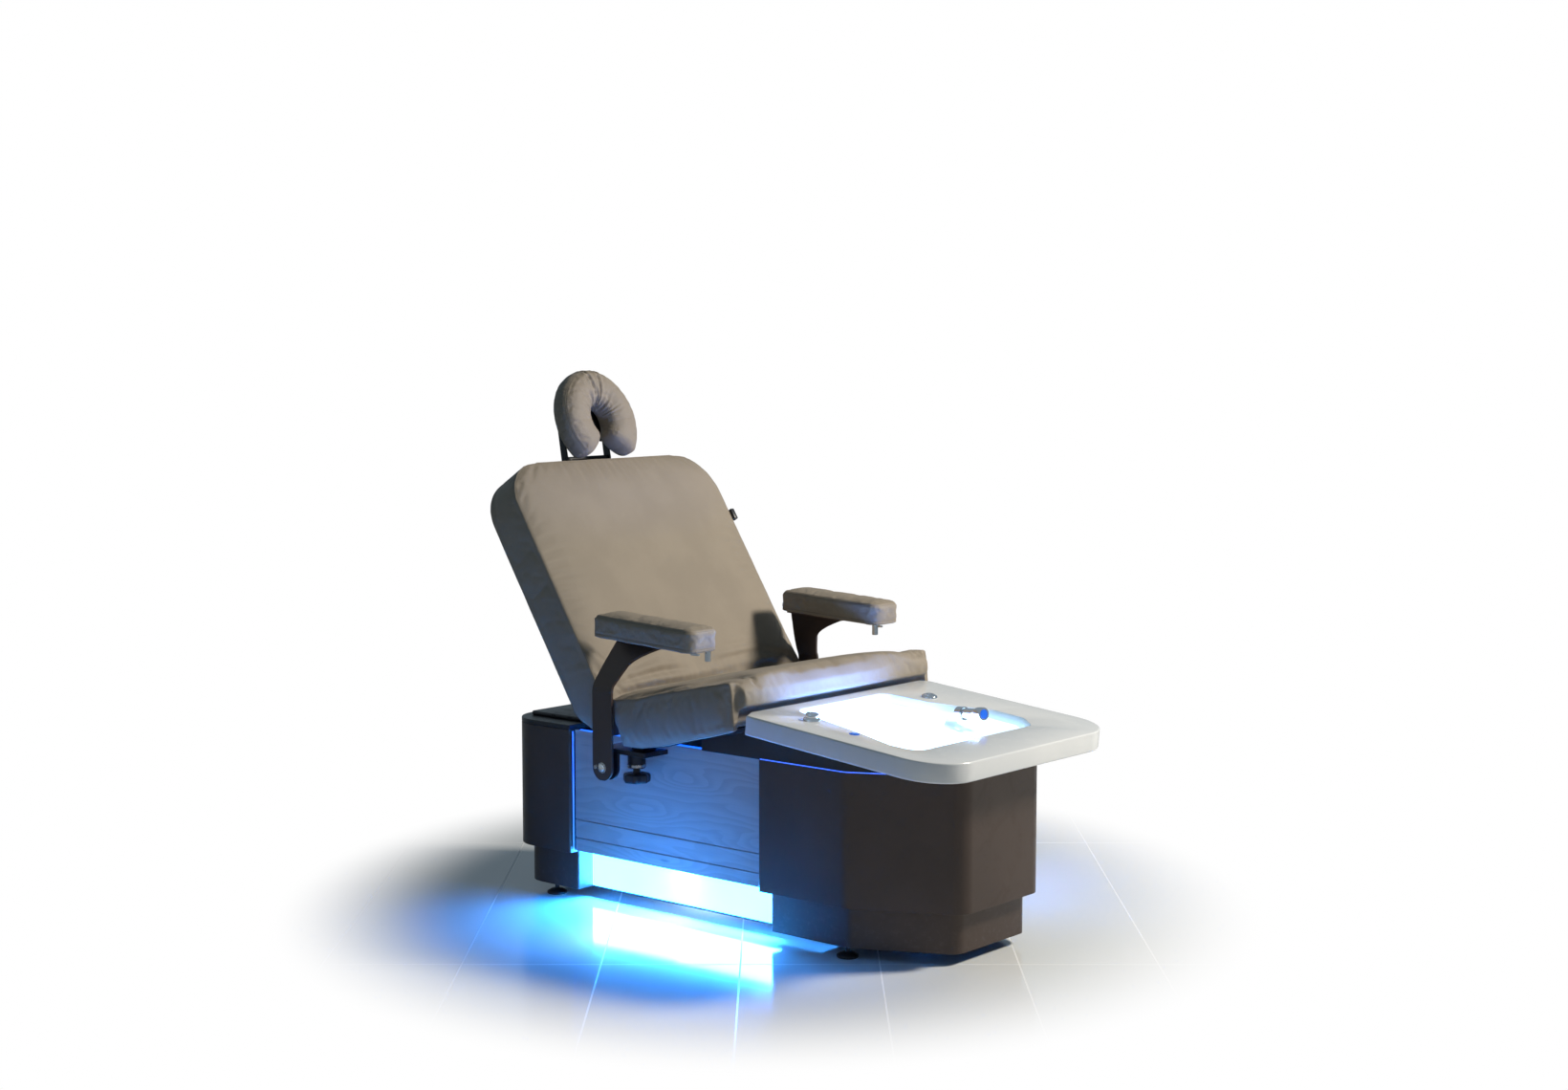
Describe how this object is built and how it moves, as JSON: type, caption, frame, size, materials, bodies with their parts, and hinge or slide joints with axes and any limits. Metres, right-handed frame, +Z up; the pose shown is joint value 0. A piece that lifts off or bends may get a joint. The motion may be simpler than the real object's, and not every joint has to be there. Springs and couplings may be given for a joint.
{
  "type": "pedicure spa chair",
  "caption": "Lifting pedicure chair with a tilting seat, reclining back, adjustable armrests and face cradle, and a white foot basin on a lit pedestal base.",
  "frame": {"origin": "middle of the bounding box on the floor, under the levelling feet", "axes": "+X from the backrest to the foot basin, +Y to the sitter's left, +Z up"},
  "size_m": [1.6601, 0.912, 1.5117],
  "materials": {
    "bronze_steel": "satin bronze-brown powder coat",
    "black_steel": "black powder coat",
    "black_plastic": "satin black plastic",
    "taupe_leather": "vinyl-coated upholstery fabric with a fine leather grain, over foam",
    "pale_oak": "pale straight-grained oak laminate",
    "black_plywood": "black-stained plywood",
    "column_aluminium": "satin anodised aluminium",
    "white_surface": "glossy white solid surface",
    "chrome": "polished chrome",
    "lit_diffuser": "frosted light diffuser, lit blue-white",
    "blue_plastic": "blue translucent plastic"
  },
  "bodies": {
    "chair": {"front_plinth": "bronze_steel", "rear_plinth": "bronze_steel", "chassis_rail_right": "black_steel", "chassis_rail_left": "black_steel", "led_diffuser_right": "lit_diffuser", "led_diffuser_left": "lit_diffuser", "lift_column_front_outer": "black_steel", "lift_column_rear_outer": "black_steel", "power_inlet": "black_plastic"},
    "foot_front_right": {"foot_front_right": "black_steel"},
    "foot_front_left": {"foot_front_left": "black_steel"},
    "foot_rear_right": {"foot_rear_right": "black_steel"},
    "foot_rear_left": {"foot_rear_left": "black_steel"},
    "carriage": {"lift_column_front_inner": "column_aluminium", "lift_column_rear_inner": "column_aluminium", "carriage_rail_right": "black_steel", "carriage_rail_left": "black_steel", "side_panel_right": "pale_oak", "side_panel_left": "pale_oak", "front_shell": "bronze_steel", "rear_shell": "bronze_steel", "rear_cap": "black_plastic", "hinge_cover": "black_plastic", "basin_skirt": "black_plastic", "foot_basin": "white_surface", "jet_nozzle": "chrome", "drain_strainer": "chrome", "button_bezel": "chrome", "mixer_collar": "chrome", "shower_holder": "chrome"},
    "mixer": {"mixer_knob": "chrome"},
    "chrome_button": {"chrome_button": "chrome"},
    "blue_button": {"blue_button": "blue_plastic"},
    "hand_shower": {"hand_shower": "chrome", "shower_face": "blue_plastic"},
    "seat": {"seat_cushion": "taupe_leather", "seat_board": "black_plywood"},
    "back": {"back_cushion": "taupe_leather", "back_board": "black_plywood", "control_clip": "black_plastic"},
    "head_slide": {"head_frame": "black_steel"},
    "cradle_links": {"cradle_link_right": "black_steel", "cradle_link_left": "black_steel"},
    "cradle": {"cradle_platform": "black_steel", "face_cradle": "taupe_leather"},
    "arm_mount_right": {"arm_mount_right": "black_steel", "pivot_bolt_right": "chrome"},
    "star_knob_right": {"star_knob_right": "black_plastic"},
    "armrest_right": {"arm_bracket_right": "bronze_steel", "armrest_pad_right": "taupe_leather", "tray_socket_right": "chrome"},
    "thumb_screw_right": {"thumb_screw_right": "chrome"},
    "arm_mount_left": {"arm_mount_left": "black_steel", "pivot_bolt_left": "chrome"},
    "star_knob_left": {"star_knob_left": "black_plastic"},
    "armrest_left": {"arm_bracket_left": "bronze_steel", "armrest_pad_left": "taupe_leather", "tray_socket_left": "chrome"},
    "thumb_screw_left": {"thumb_screw_left": "chrome"}
  },
  "joints": [
    {"name": "foot_front_right_turn", "type": "hinge", "parent": "chair", "child": "foot_front_right", "pos_m": [0.42919, -0.262, 0], "axis": [0, 0, 1], "continuous": true},
    {"name": "foot_front_left_turn", "type": "hinge", "parent": "chair", "child": "foot_front_left", "pos_m": [0.42919, 0.262, 0], "axis": [0, 0, 1], "continuous": true},
    {"name": "foot_rear_right_turn", "type": "hinge", "parent": "chair", "child": "foot_rear_right", "pos_m": [-0.65381, -0.262, 0], "axis": [0, 0, 1], "continuous": true},
    {"name": "foot_rear_left_turn", "type": "hinge", "parent": "chair", "child": "foot_rear_left", "pos_m": [-0.65381, 0.262, 0], "axis": [0, 0, 1], "continuous": true},
    {"name": "base_lift", "type": "slide", "parent": "chair", "child": "carriage", "axis": [0, 0, 1], "range_m": [0, 0.25]},
    {"name": "mixer_turn", "type": "hinge", "parent": "carriage", "child": "mixer", "pos_m": [0.32967, -0.288, 0.62703], "axis": [0.1002, 0, 0.995], "range_deg": [-60, 60]},
    {"name": "chrome_button_push", "type": "slide", "parent": "carriage", "child": "chrome_button", "axis": [-0.1002, 0, -0.995], "range_m": [0, 0.0035], "stiffness_N_per_m": 400, "springref_m": -0.003},
    {"name": "blue_button_push", "type": "slide", "parent": "carriage", "child": "blue_button", "axis": [-0.1002, 0, -0.995], "range_m": [0, 0.0035], "stiffness_N_per_m": 400, "springref_m": -0.003},
    {"name": "hand_shower_pull", "type": "slide", "parent": "carriage", "child": "hand_shower", "axis": [0.9598, -0.2592, 0.108], "range_m": [0, 0.1]},
    {"name": "seat_tilt", "type": "hinge", "parent": "carriage", "child": "seat", "pos_m": [-0.24581, 0, 0.487], "axis": [0, -1, 0], "range_deg": [0, 6]},
    {"name": "back_recline", "type": "hinge", "parent": "seat", "child": "back", "pos_m": [-0.32581, 0, 0.53], "axis": [0, -1, 0], "range_deg": [-3, 22]},
    {"name": "head_height", "type": "slide", "parent": "back", "child": "head_slide", "axis": [-0.5373, 0, 0.8434], "range_m": [0, 0.1]},
    {"name": "cradle_links_swing", "type": "hinge", "parent": "head_slide", "child": "cradle_links", "pos_m": [-0.78267, 0, 1.25282], "axis": [0, 1, 0], "range_deg": [-30, 3]},
    {"name": "cradle_tilt", "type": "hinge", "parent": "cradle_links", "child": "cradle", "pos_m": [-0.81069, 0, 1.3997], "axis": [0, 1, 0], "range_deg": [-40, 3]},
    {"name": "arm_mount_right_slide", "type": "slide", "parent": "seat", "child": "arm_mount_right", "axis": [0, -1, 0], "range_m": [0, 0.05]},
    {"name": "star_knob_right_turn", "type": "hinge", "parent": "arm_mount_right", "child": "star_knob_right", "pos_m": [-0.23581, -0.36, 0.42], "axis": [0, 0, 1], "continuous": true},
    {"name": "armrest_right_swing", "type": "hinge", "parent": "arm_mount_right", "child": "armrest_right", "pos_m": [-0.28531, -0.437, 0.44], "axis": [0, 1, 0], "range_deg": [0, 7]},
    {"name": "thumb_screw_right_turn", "type": "hinge", "parent": "armrest_right", "child": "thumb_screw_right", "pos_m": [0.01628, -0.396, 0.78444], "axis": [0, 0, 1], "continuous": true},
    {"name": "arm_mount_left_slide", "type": "slide", "parent": "seat", "child": "arm_mount_left", "axis": [0, 1, 0], "range_m": [0, 0.05]},
    {"name": "star_knob_left_turn", "type": "hinge", "parent": "arm_mount_left", "child": "star_knob_left", "pos_m": [-0.23581, 0.36, 0.42], "axis": [0, 0, 1], "continuous": true},
    {"name": "armrest_left_swing", "type": "hinge", "parent": "arm_mount_left", "child": "armrest_left", "pos_m": [-0.28531, 0.437, 0.44], "axis": [0, 1, 0], "range_deg": [0, 7]},
    {"name": "thumb_screw_left_turn", "type": "hinge", "parent": "armrest_left", "child": "thumb_screw_left", "pos_m": [0.01628, 0.396, 0.78444], "axis": [0, 0, 1], "continuous": true}
  ]
}
